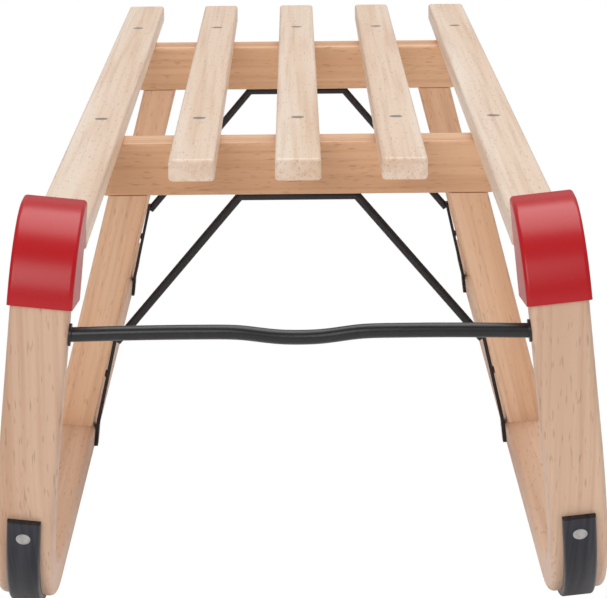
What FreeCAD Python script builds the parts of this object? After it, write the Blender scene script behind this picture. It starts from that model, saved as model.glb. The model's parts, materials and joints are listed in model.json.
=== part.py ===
import FreeCAD, Part
import math
import os

# Wooden sled with bent runners.  Millimetres, +Z up, the horns point along -Y.
# The origin is on the floor, midway along the sled and midway between the runners.

V = FreeCAD.Vector

# --- driving dimensions -------------------------------------------------------
sled_length = 1000.0        # from the front of the horns to the back of the seat
seat_height = 250.0         # floor to the top of the slats
clearance = 0.3             # gap wherever one piece is housed in another

# seat
slat_width = 30.5
slat_thickness = 15.0
slat_pitch = 70.4           # distance between the middles of neighbouring inner slats
slat_front = 258.0          # horn front to the front ends of the inner slats
rail_width = 32.0
rail_offset = 140.3         # middle plane to the middle of an outer rail
board_rounding = 2.2
corner_rounding = 3.5       # upright corners at the ends of the boards

# trestles
beam_height = 38.5
beam_depth = 32.0
beam_length = 281.0
front_beam_y = 411.0        # horn front to the middle of the front beam
rear_beam_y = 858.0         # horn front to the middle of the rear beam
leg_width = 28.5
leg_depth = 30.0
leg_top_offset = 121.7      # middle plane to the middle of a leg under its beam
leg_foot_offset = 166.4     # middle plane to the middle of a leg on its runner
beam_rounding = 3.0

# runners
runner_width = 34.0
runner_thickness = 21.0
runner_offset = 169.7       # middle plane to the middle of a runner at the floor
runner_lean = 6.2           # degrees, the top leans toward the middle plane
runner_bend = 134.0         # outer radius of the bend that lifts the runner
horn_rise = 16.5            # top of the wooden horn above the top of the slats
horn_bend = 48.0            # outer radius of the curl at the top of the horn
horn_turn = 82.0            # degrees the curl turns toward the seat
runner_rounding = 4.0
heel_radius = 26.0          # rounded underside at the back end of a runner
runner_back = 992.0         # horn front to the back end of the runners

# steel strips
strip_width = 19.5
strip_thickness = 4.0
strip_turn = 68.0           # degrees the strip climbs up the bend
strip_rounding = 1.6

# horn caps
cap_wall = 2.2
cap_side_wall = 1.6
cap_depth = 64.0            # front of the horn to the back edge of the cap
cap_skirt = 218.0           # height of the cap's lower edge at the front
cap_drop = 10.0             # how much lower that edge is at the back

# pull bar
bar_diameter = 8.5
bar_height = 199.0
bar_behind_front = 9.5
bar_sag = 2.8
bar_dip_flat = 6.0          # half the level stretch at the bottom of the dip
bar_dip_run = 36.0
bar_rise = 0.8
flange_diameter = 13.0
flange_thickness = 1.5

# brace rods
rod_diameter = 6.2
rod_flat_half = 42.0        # half the level stretch under the beam
strap_width = 12.0
strap_thickness = 2.6
strap_top = 86.0            # height where the rod meets the leg
strap_bottom = 7.0
brace_ahead = 4.0           # how far the rod sits ahead of the beam's middle

# screws
screw_head = 9.2
screw_shank = 4.5
screw_length = 38.0
strap_screw_head = 9.0
strap_screw_length = 16.0
strap_screw_heights = (62.0, 17.0)

# --- derived ------------------------------------------------------------------
y_front = -(sled_length - cap_wall) / 2.0
lean = math.radians(runner_lean)
floor_lift = (strip_width / 2.0 - strip_rounding) * math.sin(lean)  # strips just touch the floor
beam_top = seat_height - slat_thickness
beam_bottom = beam_top - beam_height
run_low = strip_thickness                    # wood underside, in the runner's plane
run_high = strip_thickness + runner_thickness
horn_level = seat_height + horn_rise
curl_height = horn_level - horn_bend         # where the straight horn starts to curl
bend_height = run_low + runner_bend          # where the bend becomes a straight horn

os.makedirs("parts", exist_ok=True)


def save(name, shape):
    shape = shape.removeSplitter() if len(shape.Solids) == 1 else shape
    shape.exportStep("parts/" + name + ".step")
    print(name, len(shape.Solids), round(shape.Volume / 1000.0, 2), shape.isValid())


def mirrored(shape):
    return shape.mirror(V(0, 0, 0), V(1, 0, 0))


def lean_over(shape):
    # turns a shape drawn about x = 0 into the leaning plane of the left runner
    shape = shape.copy()
    shape.rotate(V(0, 0, 0), V(0, 1, 0), runner_lean)
    shape.translate(V(-runner_offset, 0, floor_lift))
    return shape


def plane_x(z, u=0.0):
    # x on the left side of a point at height z, u outboard of the runner's middle
    v = (z - floor_lift - u * math.sin(lean)) / math.cos(lean)
    return -(runner_offset + u * math.cos(lean) - v * math.sin(lean))


def fillet(shape, radius, wanted):
    edges = [e for e in shape.Edges if wanted(e)]
    if not edges:
        return shape
    try:
        out = shape.makeFillet(radius, edges)
        if out.isValid() and out.Volume > 0:
            return out
    except Exception as problem:
        print("fillet left out:", problem)
    return shape


def box(x0, x1, y0, y1, z0, z1):
    return Part.makeBox(x1 - x0, y1 - y0, z1 - z0, V(x0, y0, z0))


# --- the side outline of a runner, offset inward by a depth ---------------------
def point_on(centre, radius, degrees):
    a = math.radians(degrees)
    return V(0, centre[0] + radius * math.cos(a), centre[1] + radius * math.sin(a))


bend_centre = (y_front + runner_bend, bend_height)
curl_centre = (y_front + horn_bend, curl_height)


def arc(centre, radius, a0, a1):
    return Part.Arc(point_on(centre, radius, a0), point_on(centre, radius, (a0 + a1) / 2.0),
                    point_on(centre, radius, a1)).toShape()


def line(a, b):
    return Part.makeLine(a, b)


def band(outer, inner, y_back, stop_low, stop_high, width):
    # a strip that follows the outside of a runner between two depths below its
    # outer face, from y_back round the bend to stop_low degrees up the bend, or,
    # when stop_high is given, on up the horn and round the curl
    rb_o, rb_i = runner_bend - outer, runner_bend - inner
    low_o, low_i = bend_height - rb_o, bend_height - rb_i
    edges = [line(V(0, y_back, low_o), V(0, bend_centre[0], low_o))]
    if stop_high is None:
        end = 270.0 - stop_low
        edges.append(arc(bend_centre, rb_o, 270.0, end))
        edges.append(line(point_on(bend_centre, rb_o, end), point_on(bend_centre, rb_i, end)))
        edges.append(arc(bend_centre, rb_i, end, 270.0))
    else:
        rc_o, rc_i = horn_bend - outer, horn_bend - inner
        end = 180.0 - stop_high
        edges.append(arc(bend_centre, rb_o, 270.0, 180.0))
        edges.append(line(point_on(bend_centre, rb_o, 180.0), point_on(curl_centre, rc_o, 180.0)))
        edges.append(arc(curl_centre, rc_o, 180.0, end))
        edges.append(line(point_on(curl_centre, rc_o, end), point_on(curl_centre, rc_i, end)))
        edges.append(arc(curl_centre, rc_i, end, 180.0))
        edges.append(line(point_on(curl_centre, rc_i, 180.0), point_on(bend_centre, rb_i, 180.0)))
        edges.append(arc(bend_centre, rb_i, 180.0, 270.0))
    edges.append(line(V(0, bend_centre[0], low_i), V(0, y_back, low_i)))
    edges.append(line(V(0, y_back, low_i), V(0, y_back, low_o)))
    face = Part.Face(Part.Wire(edges))
    solid = face.extrude(V(width, 0, 0))
    solid.translate(V(-width / 2.0, 0, 0))
    return solid


def long_edge(half, tolerance=0.01):
    # edges that run along the piece on its two side faces
    def wanted(e):
        xs = [v.X for v in e.Vertexes]
        return all(abs(abs(x) - half) < tolerance for x in xs) and abs(xs[0] - xs[-1]) < tolerance
    return wanted


# --- runners and their steel strips ---------------------------------------------
y_back = y_front + runner_back
runner_flat = band(0.0, runner_thickness, y_back, 0, horn_turn, runner_width)
heel_block = box(-runner_width, runner_width, y_back - heel_radius, y_back + 1, run_low - 1,
                 run_low + heel_radius)
heel_round = Part.makeCylinder(heel_radius, 2 * runner_width,
                               V(-runner_width, y_back - heel_radius, run_low + heel_radius),
                               V(1, 0, 0))
runner_flat = runner_flat.cut(heel_block.cut(heel_round))
runner_plain = runner_flat
runner_flat = fillet(runner_flat, runner_rounding, long_edge(runner_width / 2.0))
left_runner = lean_over(runner_flat)

strip = band(-strip_thickness, 0.0, y_back - heel_radius, strip_turn, None, strip_width)
strip = fillet(strip, strip_rounding,
               lambda e: long_edge(strip_width / 2.0)(e)
               and all(((v.Y - bend_centre[0]) ** 2 + (v.Z - bend_height) ** 2) ** 0.5
                       > runner_bend + 1 or v.Z < 1 for v in e.Vertexes))

# countersunk screw at the front end of each strip
tip_angle = 270.0 - strip_turn + 5.0
tip_axis = V(0, -math.cos(math.radians(tip_angle)), -math.sin(math.radians(tip_angle)))
tip_point = point_on(bend_centre, runner_bend + strip_thickness, tip_angle)


def screw(point, inward, head, shank, length):
    # countersunk head whose top is at the point, the shank going inward
    inward = V(inward)
    inward.normalize()
    cone_height = (head - shank) / 2.0
    rim = Part.makeCylinder(head / 2.0, 0.4, point, inward)
    cone = Part.makeCone(head / 2.0, shank / 2.0, cone_height, point + inward * 0.4, inward)
    rod = Part.makeCylinder(shank / 2.0, length - 0.4 - cone_height,
                            point + inward * (0.4 + cone_height), inward)
    return rim.fuse(cone).fuse(rod).removeSplitter()


strip_screw = screw(tip_point, tip_axis, 8.4, 4.0, 18.0)
strip = strip.cut(screw(tip_point, tip_axis, 8.4 + 0.2, 4.2, 18.2))
left_strip = lean_over(strip)
left_strip_screw = lean_over(strip_screw)
left_runner = left_runner.cut(lean_over(screw(tip_point, tip_axis, 8.6, 4.2, 18.2)))

# --- seat -------------------------------------------------------------------------
seat_back = y_front + sled_length
y_slat_front = y_front + slat_front
y_front_beam = y_front + front_beam_y
y_rear_beam = y_front + rear_beam_y


def is_long(e, axis, shortest=5.0):
    d = e.Vertexes[0].Point - e.Vertexes[-1].Point
    return abs([d.x, d.y, d.z][axis]) > shortest and abs(d.Length - abs([d.x, d.y, d.z][axis])) < 0.01


def board(x, width, y0, y1):
    b = box(x - width / 2.0, x + width / 2.0, y0, y1, beam_top, seat_height)
    b = fillet(b, corner_rounding, lambda e: is_long(e, 2))
    return fillet(b, board_rounding, lambda e: not is_long(e, 2, 1.0) and e.Vertexes[0].Z > beam_top - 1
                  and abs(e.Vertexes[0].Z - e.Vertexes[-1].Z) < 0.01)


cap_outer_width = runner_width + 2 * cap_side_wall
tongue_back = y_front + cap_depth + 3.0
rail = board(-rail_offset, rail_width, y_front + 24.0, seat_back)
outside_tongue = box(-rail_offset - 60, -rail_offset + 60, y_front, tongue_back, beam_top - 5,
                     seat_height + 5)
slab = lean_over(box(-runner_width / 2.0 + 0.5, runner_width / 2.0 - 0.5, y_front, tongue_back, 100, 400))
rail = rail.cut(outside_tongue.cut(slab))
housing = lean_over(band(-0.5, runner_thickness + clearance, y_back, 0, horn_turn + 1.0,
                         runner_width + 2.0))
rail = rail.cut(housing)
left_rail = max(rail.Solids, key=lambda s: s.Volume)

slats = {
    "slat_left": board(-slat_pitch, slat_width, y_slat_front, seat_back),
    "slat_middle": board(0.0, slat_width, y_slat_front, seat_back),
    "slat_right": board(slat_pitch, slat_width, y_slat_front, seat_back),
}

# --- trestles -----------------------------------------------------------------------
def beam(y):
    b = box(-beam_length / 2.0, beam_length / 2.0, y - beam_depth / 2.0, y + beam_depth / 2.0,
            beam_bottom, beam_top)
    return fillet(b, beam_rounding, lambda e: is_long(e, 0) or is_long(e, 2) or is_long(e, 1))


def leg(y):
    # leaning leg of the left side, standing on the tilted top of its runner
    top_out = -leg_top_offset - leg_width / 2.0
    top_in = -leg_top_offset + leg_width / 2.0
    slope = (leg_foot_offset - leg_top_offset) / (beam_bottom - run_high)
    low = run_high - 12.0
    shift = slope * (beam_bottom - low)
    pts = [V(top_out, 0, beam_bottom), V(top_in, 0, beam_bottom),
           V(top_in - shift, 0, low), V(top_out - shift, 0, low)]
    wire = Part.makePolygon(pts + [pts[0]])
    solid = Part.Face(wire).extrude(V(0, leg_depth, 0))
    solid.translate(V(0, y - leg_depth / 2.0, 0))
    solid = fillet(solid, beam_rounding, lambda e: abs(e.Vertexes[0].Z - e.Vertexes[-1].Z) > 50)
    under = lean_over(box(-80, 80, y - 100, y + 100, -60, run_high))
    return solid.cut(under)


front_beam = beam(y_front_beam)
rear_beam = beam(y_rear_beam)
front_left_leg = leg(y_front_beam)
rear_left_leg = leg(y_rear_beam)
leg_slope = (leg_foot_offset - leg_top_offset) / (beam_bottom - run_high)


def leg_inner_x(z):
    # inner face of the left leg at a height
    return -(leg_top_offset + (beam_bottom - z) * leg_slope) + leg_width / 2.0


# --- seat screws ----------------------------------------------------------------------
seat_xs = [-rail_offset, -slat_pitch, 0.0, slat_pitch, rail_offset]
seat_names = ["left_rail", "slat_left", "slat_middle", "slat_right", "right_rail"]
right_rail = mirrored(left_rail)
boards = dict(slats)
boards["left_rail"] = left_rail
boards["right_rail"] = right_rail
seat_screws = {}
for row, y in (("front", y_front_beam), ("rear", y_rear_beam)):
    screws = []
    for name, x in zip(seat_names, seat_xs):
        top = V(x, y, seat_height - 0.3)
        s = screw(top, V(0, 0, -1), screw_head, screw_shank, screw_length)
        hole = screw(top, V(0, 0, -1), screw_head + 0.2, screw_shank + 0.2, screw_length + 0.4)
        hole = hole.fuse(Part.makeCylinder(screw_head / 2.0 + 0.1, 1.0, top))
        screws.append(s)
        boards[name] = boards[name].cut(hole)
        if row == "front":
            front_beam = front_beam.cut(hole)
        else:
            rear_beam = rear_beam.cut(hole)
    seat_screws[row + "_seat_screws"] = Part.makeCompound(screws)

# --- brace rods -----------------------------------------------------------------------
def round_bar(points, diameter):
    # bar of round section through the points, with ball-rounded corners
    out = None
    for a, b in zip(points[:-1], points[1:]):
        piece = Part.makeCylinder(diameter / 2.0, (b - a).Length, a, b - a)
        out = piece if out is None else out.fuse(piece)
    for p in points[1:-1]:
        out = out.fuse(Part.makeSphere(diameter / 2.0, p))
    return out.removeSplitter()


def brace(y_beam):
    y = y_beam - brace_ahead
    z_rod = beam_bottom - rod_diameter / 2.0
    x_top = leg_inner_x(strap_top)
    left_top = V(x_top + rod_diameter / 2.0, y, strap_top)
    knee = V(-rod_flat_half, y, z_rod)
    rod = round_bar([left_top, knee, V(rod_flat_half, y, z_rod),
                     V(-left_top.x, y, strap_top)], rod_diameter)
    # flattened end: a strap down the leg and over the side of the runner
    u_in = -runner_width / 2.0
    z_turn = floor_lift + run_high * math.cos(lean) + u_in * math.sin(lean)
    face = [V(leg_inner_x(strap_top + 5), y, strap_top + 5),
            V(leg_inner_x(z_turn), y, z_turn),
            V(plane_x(strap_bottom, u_in), y, strap_bottom)]
    # the strap may not cut into the runner where the leg stands further out
    face[1] = V(max(leg_inner_x(z_turn), plane_x(z_turn, u_in)), y, z_turn)
    back = [p + V(strap_thickness, 0, 0) for p in face]
    wire = Part.makePolygon(face + back[::-1] + [face[0]])
    strap = Part.Face(wire).extrude(V(0, strap_width, 0))
    strap.translate(V(0, -strap_width / 2.0, 0))
    strap = fillet(strap, 3.0, lambda e: is_long(e, 0, 1.0))
    holes = []
    screws = []
    for z in strap_screw_heights:
        if z > z_turn:
            x = leg_inner_x(z)
            inward = V(-1, 0, leg_slope)
        else:
            x = plane_x(z, u_in)
            inward = V(-math.cos(lean), 0, math.sin(lean))
        inward.normalize()
        p = V(x, y, z) - inward * (strap_thickness + 0.2)
        screws.append(screw(p, inward, strap_screw_head, 4.0, strap_screw_length))
        holes.append(screw(p, inward, strap_screw_head + 0.2, 4.2, strap_screw_length + 0.4))
    for h in holes:
        strap = strap.cut(h)
    body = rod.fuse(strap).fuse(mirrored(strap)).removeSplitter()
    return body, screws, holes


left_runner_cut = left_runner
braces = {}
strap_screws = {}
legs = {}
for row, y, left_leg in (("front", y_front_beam, front_left_leg), ("rear", y_rear_beam, rear_left_leg)):
    body, screws, holes = brace(y)
    for h in holes:
        left_leg = left_leg.cut(h)
        left_runner_cut = left_runner_cut.cut(h)
    braces[row + "_brace"] = body
    strap_screws["left_" + row + "_strap_screws"] = Part.makeCompound(screws)
    strap_screws["right_" + row + "_strap_screws"] = Part.makeCompound([mirrored(s) for s in screws])
    legs[row + "_left_leg"] = left_leg
    legs[row + "_right_leg"] = mirrored(left_leg)
left_runner = left_runner_cut

# --- horn caps --------------------------------------------------------------------------
y_cap_back = y_front + cap_depth
skirt_back = cap_skirt - cap_drop
crest = curl_height + horn_bend + cap_wall
outline = [
    line(V(0, y_front - cap_wall, cap_skirt), V(0, y_front - cap_wall, curl_height)),
    arc(curl_centre, horn_bend + cap_wall, 180.0, 90.0),
    line(V(0, curl_centre[0], crest), V(0, y_cap_back - 5.0, crest)),
    Part.Arc(V(0, y_cap_back - 5.0, crest), V(0, y_cap_back - 1.46, crest - 1.46),
             V(0, y_cap_back, crest - 5.0)).toShape(),
    line(V(0, y_cap_back, crest - 5.0), V(0, y_cap_back, skirt_back)),
    line(V(0, y_cap_back, skirt_back), V(0, y_front - cap_wall, cap_skirt)),
]
cap = Part.Face(Part.Wire(outline)).extrude(V(cap_outer_width, 0, 0))
cap.translate(V(-cap_outer_width / 2.0, 0, 0))


def cap_rim(e):
    ok = long_edge(cap_outer_width / 2.0)(e)
    low = min(v.Z for v in e.Vertexes) < cap_skirt - 0.5 and max(v.Z for v in e.Vertexes) < cap_skirt + 1
    return ok and not low


cap = fillet(cap, 2.5, cap_rim)
cap = lean_over(cap)
cap = cap.cut(lean_over(band(-clearance, runner_thickness + clearance, y_back, 0, horn_turn + 0.5,
                             runner_width + 2 * clearance)))
rail_room = box(-rail_offset - rail_width / 2.0 - clearance, -rail_offset + rail_width / 2.0 + clearance,
                y_front + 20.0, tongue_back, beam_top - clearance, seat_height + clearance)
rail_room = rail_room.common(lean_over(box(-runner_width / 2.0 - clearance, runner_width / 2.0 + clearance,
                                           y_front, tongue_back + 5, 100, 400)))
cap = cap.cut(rail_room)
# the space under the rail end, behind the horn, is open from below
hollow = box(-runner_width / 2.0 + 1.2, runner_width / 2.0 - 1.2, y_front + runner_thickness - 1,
             y_cap_back - cap_wall, 150, beam_top + 1.0)
cap = cap.cut(lean_over(hollow))
left_cap = max(cap.Solids, key=lambda s: s.Volume)

# --- pull bar -----------------------------------------------------------------------------
y_bar = y_front + bar_behind_front
x_end = plane_x(bar_height, -runner_width / 2.0)
half = -x_end


def bar_z(x):
    # the bar dips in the middle and rises a little between the dip and its ends
    reach = abs(x)
    dip = 0.5 + 0.5 * math.cos(math.pi * min(max((reach - bar_dip_flat) / bar_dip_run, 0.0), 1.0))
    rise = math.sin(math.pi * min(reach / half, 1.0))
    return bar_height - bar_sag * dip + bar_rise * rise


stations = [-1.0 + i / 12.0 for i in range(25)]
rings = [Part.Wire(Part.makeCircle(bar_diameter / 2.0, V(t * (half + 3.0), y_bar, bar_z(t * (half + 3.0))),
                                   V(1, 0, 0))) for t in stations]
bar = Part.makeLoft(rings, True, False)
tilt = V(math.cos(lean), 0, -math.sin(lean))
end_run = V(x_end, y_bar, bar_height)
flange = Part.makeCylinder(flange_diameter / 2.0, flange_thickness, end_run, tilt)
bar = bar.fuse(flange).fuse(mirrored(flange))
outboard = lean_over(box(-runner_width / 2.0 - 40, runner_width / 2.0, y_front - 20, y_front + 80,
                         100, 320))
bar = bar.cut(outboard).cut(mirrored(outboard)).removeSplitter()

# --- write the pieces ---------------------------------------------------------------------
pieces = {
    "left_runner": left_runner,
    "right_runner": mirrored(left_runner),
    "left_steel_strip": left_strip,
    "right_steel_strip": mirrored(left_strip),
    "left_strip_screw": left_strip_screw,
    "right_strip_screw": mirrored(left_strip_screw),
    "left_horn_cap": left_cap,
    "right_horn_cap": mirrored(left_cap),
    "front_beam": front_beam,
    "rear_beam": rear_beam,
    "pull_bar": bar,
}
pieces.update(boards)
pieces.update(legs)
pieces.update(braces)
pieces.update(seat_screws)
pieces.update(strap_screws)
for name in sorted(pieces):
    save(name, pieces[name])
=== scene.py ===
# %% [markdown]
# # Wooden sled
# The sled's solid model is loaded as a frame: every wooden, steel and plastic
# piece is already in place. This script gives each piece its real material,
# sets camera and lamps, and lays a white floor under it.

# %% Set up
import json
import math
import bpy
from mathutils import Matrix, Vector

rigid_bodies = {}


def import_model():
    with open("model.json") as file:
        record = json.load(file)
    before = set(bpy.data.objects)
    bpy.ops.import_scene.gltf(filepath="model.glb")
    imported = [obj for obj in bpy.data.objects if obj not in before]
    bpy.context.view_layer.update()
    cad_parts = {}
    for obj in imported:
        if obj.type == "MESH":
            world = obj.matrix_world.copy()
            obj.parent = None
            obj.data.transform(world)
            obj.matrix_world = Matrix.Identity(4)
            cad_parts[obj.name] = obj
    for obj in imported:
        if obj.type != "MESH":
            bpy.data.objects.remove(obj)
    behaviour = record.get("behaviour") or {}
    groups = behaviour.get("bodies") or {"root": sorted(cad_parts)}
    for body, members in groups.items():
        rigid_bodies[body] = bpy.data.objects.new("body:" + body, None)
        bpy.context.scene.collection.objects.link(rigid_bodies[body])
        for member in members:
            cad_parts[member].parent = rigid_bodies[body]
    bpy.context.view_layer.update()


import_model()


# %% [markdown]
# ## Colour and node helpers
# Colours are written as sRGB hex and turned into linear values in one place.
# One helper adds any node, sets its sockets and links its inputs.

# %% Helpers
def colour(text):
    parts = [int(text[i:i + 2], 16) / 255.0 for i in (1, 3, 5)]
    line = [c / 12.92 if c <= 0.04045 else ((c + 0.055) / 1.055) ** 2.4 for c in parts]
    return (*line, 1.0)


def node(tree, kind, settings=None, **inputs):
    n = tree.nodes.new(kind)
    for key, value in (settings or {}).items():
        setattr(n, key, value)
    for key, value in inputs.items():
        wanted = key.replace("_", " ").lower()
        if wanted[-1:].isdigit() and wanted[:2] == "in":
            socket = n.inputs[int(wanted[2:])]
        else:
            socket = [s for s in n.inputs if s.name.lower() == wanted][0]
        if isinstance(value, bpy.types.NodeSocket):
            tree.links.new(value, socket)
        else:
            socket.default_value = value
    return n


def material(name):
    m = bpy.data.materials.new(name)
    m.use_nodes = True
    m.node_tree.nodes.clear()
    tree = m.node_tree
    shader = node(tree, "ShaderNodeBsdfPrincipled")
    out = node(tree, "ShaderNodeOutputMaterial")
    tree.links.new(shader.outputs[0], out.inputs[0])
    where = node(tree, "ShaderNodeTexCoord").outputs["Object"]
    return m, tree, shader, where


def ramp(tree, value, stops):
    n = node(tree, "ShaderNodeValToRGB", None, Fac=value)
    band = n.color_ramp
    while len(band.elements) < len(stops):
        band.elements.new(0.5)
    for e, (pos, col) in zip(band.elements, stops):
        e.position = pos
        e.color = colour(col)
    return n.outputs[0]


def mix(tree, factor, a, b, how="MIX"):
    n = node(tree, "ShaderNodeMix", {"data_type": "RGBA", "blend_type": how}, in0=factor,
             in6=a, in7=b)
    return n.outputs[2]


# %% [markdown]
# ## Beech
# Lacquered beech has fine fibres along the grain, slow bands of colour and
# short darker flecks. The pattern is stretched along the piece's grain, and a
# turn about Y lets the grain of a leaning leg follow the leg.

# %% Beech
GRAIN = {"X": (6.0, 260.0, 260.0), "Y": (260.0, 5.0, 260.0), "Z": (260.0, 260.0, 6.0),
         "bent": (260.0, 5.0, 5.0)}
BANDS = {"X": (1.5, 30.0, 30.0), "Y": (30.0, 1.2, 30.0), "Z": (30.0, 30.0, 1.5),
         "bent": (45.0, 2.0, 2.0)}
FLECK = {"X": (90.0, 700.0, 700.0), "Y": (700.0, 90.0, 700.0), "Z": (700.0, 700.0, 90.0),
         "bent": (700.0, 90.0, 90.0)}


def beech(name, axis, light, mid, dark, turn=0.0, shift=0.0, rough=0.42):
    m, tree, shader, where = material(name)
    turned = node(tree, "ShaderNodeMapping", None, Vector=where,
                  Rotation=(0, math.radians(turn), 0), Location=(shift, shift, shift)).outputs[0]

    def noise(scales, detail, distortion=0.0):
        at = node(tree, "ShaderNodeMapping", None, Vector=turned, Scale=scales[axis]).outputs[0]
        return node(tree, "ShaderNodeTexNoise", None, Vector=at, Scale=1.0, Detail=detail,
                    Distortion=distortion).outputs[0]

    fibre = noise(GRAIN, 3.0)
    band = noise(BANDS, 2.0, 0.4)
    fleck = noise(FLECK, 1.0)
    base = ramp(tree, band, [(0.30, dark), (0.50, mid), (0.72, light)])
    fine = ramp(tree, fibre, [(0.30, "#CDA684"), (0.55, "#FFFFFF")])
    both = mix(tree, 0.30, base, fine, "MULTIPLY")
    spots = ramp(tree, fleck, [(0.62, "#FFFFFF"), (0.72, "#9A6440")])
    full = mix(tree, 0.30, both, spots, "MULTIPLY")
    tree.links.new(full, shader.inputs["Base Color"])
    shader.inputs["Roughness"].default_value = rough
    shader.inputs["Coat Weight"].default_value = 0.15
    shader.inputs["Coat Roughness"].default_value = 0.3
    bump = node(tree, "ShaderNodeBump", None, Strength=0.25, Distance=0.0002, Height=fibre)
    tree.links.new(bump.outputs[0], shader.inputs["Normal"])
    return m


# Painted light: the seat beech gets much paler tones than the beams, legs and runners of the same
# beech, standing in for light falling on the slats' top faces.
seat_beech_painted_light = beech("lacquered beech, seat, painted top light", "Y", "#FFEEDC", "#FBE3CD", "#F3D4B8")
beam_wood = beech("lacquered beech, beams", "X", "#F3CBA4", "#E8BA92", "#D8A67C", shift=0.3)
left_leg_wood = beech("lacquered beech, left legs", "Z", "#F6CFAE", "#EFC29D", "#E4B289", -14.0, 0.7)
right_leg_wood = beech("lacquered beech, right legs", "Z", "#F6CFAE", "#EFC29D", "#E4B289", 14.0, 1.1)
runner_wood = beech("lacquered beech, runners", "bent", "#EBC8AC", "#E0B99C", "#D5AB8C", shift=1.7)


# %% [markdown]
# ## Plastic, steel and paint
# The caps are moulded red plastic. The strips are bare rolled steel with long
# scratches, the rods carry black paint and the screws are zinc plated.

# %% Plastic, steel and paint
def finish(name, base, rough, metal=0.0, mottled=None, scale=(60.0, 60.0, 60.0), bump=0.0):
    m, tree, shader, where = material(name)
    at = node(tree, "ShaderNodeMapping", None, Vector=where, Scale=scale).outputs[0]
    pattern = node(tree, "ShaderNodeTexNoise", None, Vector=at, Scale=1.0, Detail=4.0).outputs[0]
    tone = ramp(tree, pattern, [(0.35, base), (0.70, mottled or base)])
    tree.links.new(tone, shader.inputs["Base Color"])
    shader.inputs["Roughness"].default_value = rough
    shader.inputs["Metallic"].default_value = metal
    if bump:
        rise = node(tree, "ShaderNodeBump", None, Strength=0.4, Distance=bump, Height=pattern)
        tree.links.new(rise.outputs[0], shader.inputs["Normal"])
    return m


red_plastic = finish("moulded red plastic", "#C0000F", 0.30, 0.0, "#C70414",
                     (900.0, 900.0, 900.0), 0.00004)
rolled_steel = finish("bare rolled steel", "#34353C", 0.34, 0.7, "#4C4D54",
                      (300.0, 12.0, 12.0), 0.00003)
black_paint = finish("black painted steel", "#1A181A", 0.30, 0.0, "#221F22",
                     (200.0, 200.0, 200.0))
zinc = finish("zinc plated steel", "#B4B2B0", 0.30, 0.9, "#CFCDCA", (300.0, 300.0, 300.0))


# %% [markdown]
# ## Give every piece its material
# The name of a piece says what it is made of.

# %% Materials on the pieces
def choose(name):
    if "screw" in name:
        return zinc
    if "cap" in name:
        return red_plastic
    if "strip" in name:
        return rolled_steel
    if "brace" in name or name == "pull_bar":
        return black_paint
    if "beam" in name:
        return beam_wood
    if name.endswith("left_leg"):
        return left_leg_wood
    if name.endswith("right_leg"):
        return right_leg_wood
    if "runner" in name:
        return runner_wood
    return seat_beech_painted_light


painted = 0
for ob in list(bpy.data.objects):
    if ob.type == "MESH":
        ob.data.materials.clear()
        ob.data.materials.append(choose(ob.name))
        painted += 1
print("pieces with a material:", painted)

# %% [markdown]
# ## Floor and lamps
# The floor is plain white to the camera. A large lamp above and a weaker one
# in front light the sled.

# %% Floor and lamps
scene = bpy.context.scene
bpy.ops.mesh.primitive_plane_add(size=60.0, location=(0, 0, -0.0005))
floor = bpy.context.object
floor.name = "floor"
m, tree, shader, where = material("white floor")
shader.inputs["Base Color"].default_value = colour("#FFFFFF")
shader.inputs["Roughness"].default_value = 0.9
glow = node(tree, "ShaderNodeEmission", None, Color=colour("#FFFFFF"), Strength=1.0)
seen = node(tree, "ShaderNodeLightPath").outputs["Is Camera Ray"]
both = node(tree, "ShaderNodeMixShader", None, in0=seen, in1=shader.outputs[0], in2=glow.outputs[0])
out = [n for n in tree.nodes if n.type == "OUTPUT_MATERIAL"][0]
tree.links.new(both.outputs[0], out.inputs[0])
floor.data.materials.append(m)


def lamp(name, place, target, size, power):
    data = bpy.data.lights.new(name, "AREA")
    data.size = size
    data.energy = power
    ob = bpy.data.objects.new(name, data)
    scene.collection.objects.link(ob)
    ob.location = place
    aim = Vector(target) - Vector(place)
    ob.rotation_euler = aim.to_track_quat("-Z", "Y").to_euler()
    return ob


lamp("overhead lamp", (0.3, 0.4, 2.6), (0, 0, 0.1), 2.2, 42.0)
lamp("front lamp", (-0.8, -3.0, 1.6), (0, -0.2, 0.1), 1.6, 26.0)
world = bpy.data.worlds.new("room")
scene.world = world
world.use_nodes = True
back = world.node_tree.nodes["Background"]
back.inputs[0].default_value = colour("#FFFFFF")
back.inputs[1].default_value = 0.35

# %% [markdown]
# ## Camera
# The camera looks down along the sled from in front of the horns.

# %% Camera
IMAGE_WIDTH, IMAGE_HEIGHT = 607, 598
SENSOR_MM = 36.0
FOCAL_PIXELS = 2529.0
PITCH, YAW, ROLL = 14.41, 0.13, -0.50
CAMERA = (-0.0009, -1.8738, 0.5743)
data = bpy.data.cameras.new("camera")
camera = bpy.data.objects.new("camera", data)
scene.collection.objects.link(camera)
data.sensor_fit = "HORIZONTAL"
data.sensor_width = SENSOR_MM
data.lens = FOCAL_PIXELS / IMAGE_WIDTH * SENSOR_MM
pitch, yaw, roll = (math.radians(a) for a in (PITCH, YAW, ROLL))
ahead = Vector((math.sin(yaw) * math.cos(pitch), math.cos(yaw) * math.cos(pitch), -math.sin(pitch)))
right = Vector((math.cos(yaw), -math.sin(yaw), 0.0))
up = right.cross(ahead)
right2 = right * math.cos(roll) + up * math.sin(roll)
up2 = up * math.cos(roll) - right * math.sin(roll)
turn = Matrix((right2, up2, -ahead)).transposed()
camera.matrix_world = Matrix.Translation(CAMERA) @ turn.to_4x4()
scene.camera = camera
scene.view_settings.view_transform = "Standard"
scene.render.resolution_x = IMAGE_WIDTH
scene.render.resolution_y = IMAGE_HEIGHT
print("camera at", tuple(camera.location))
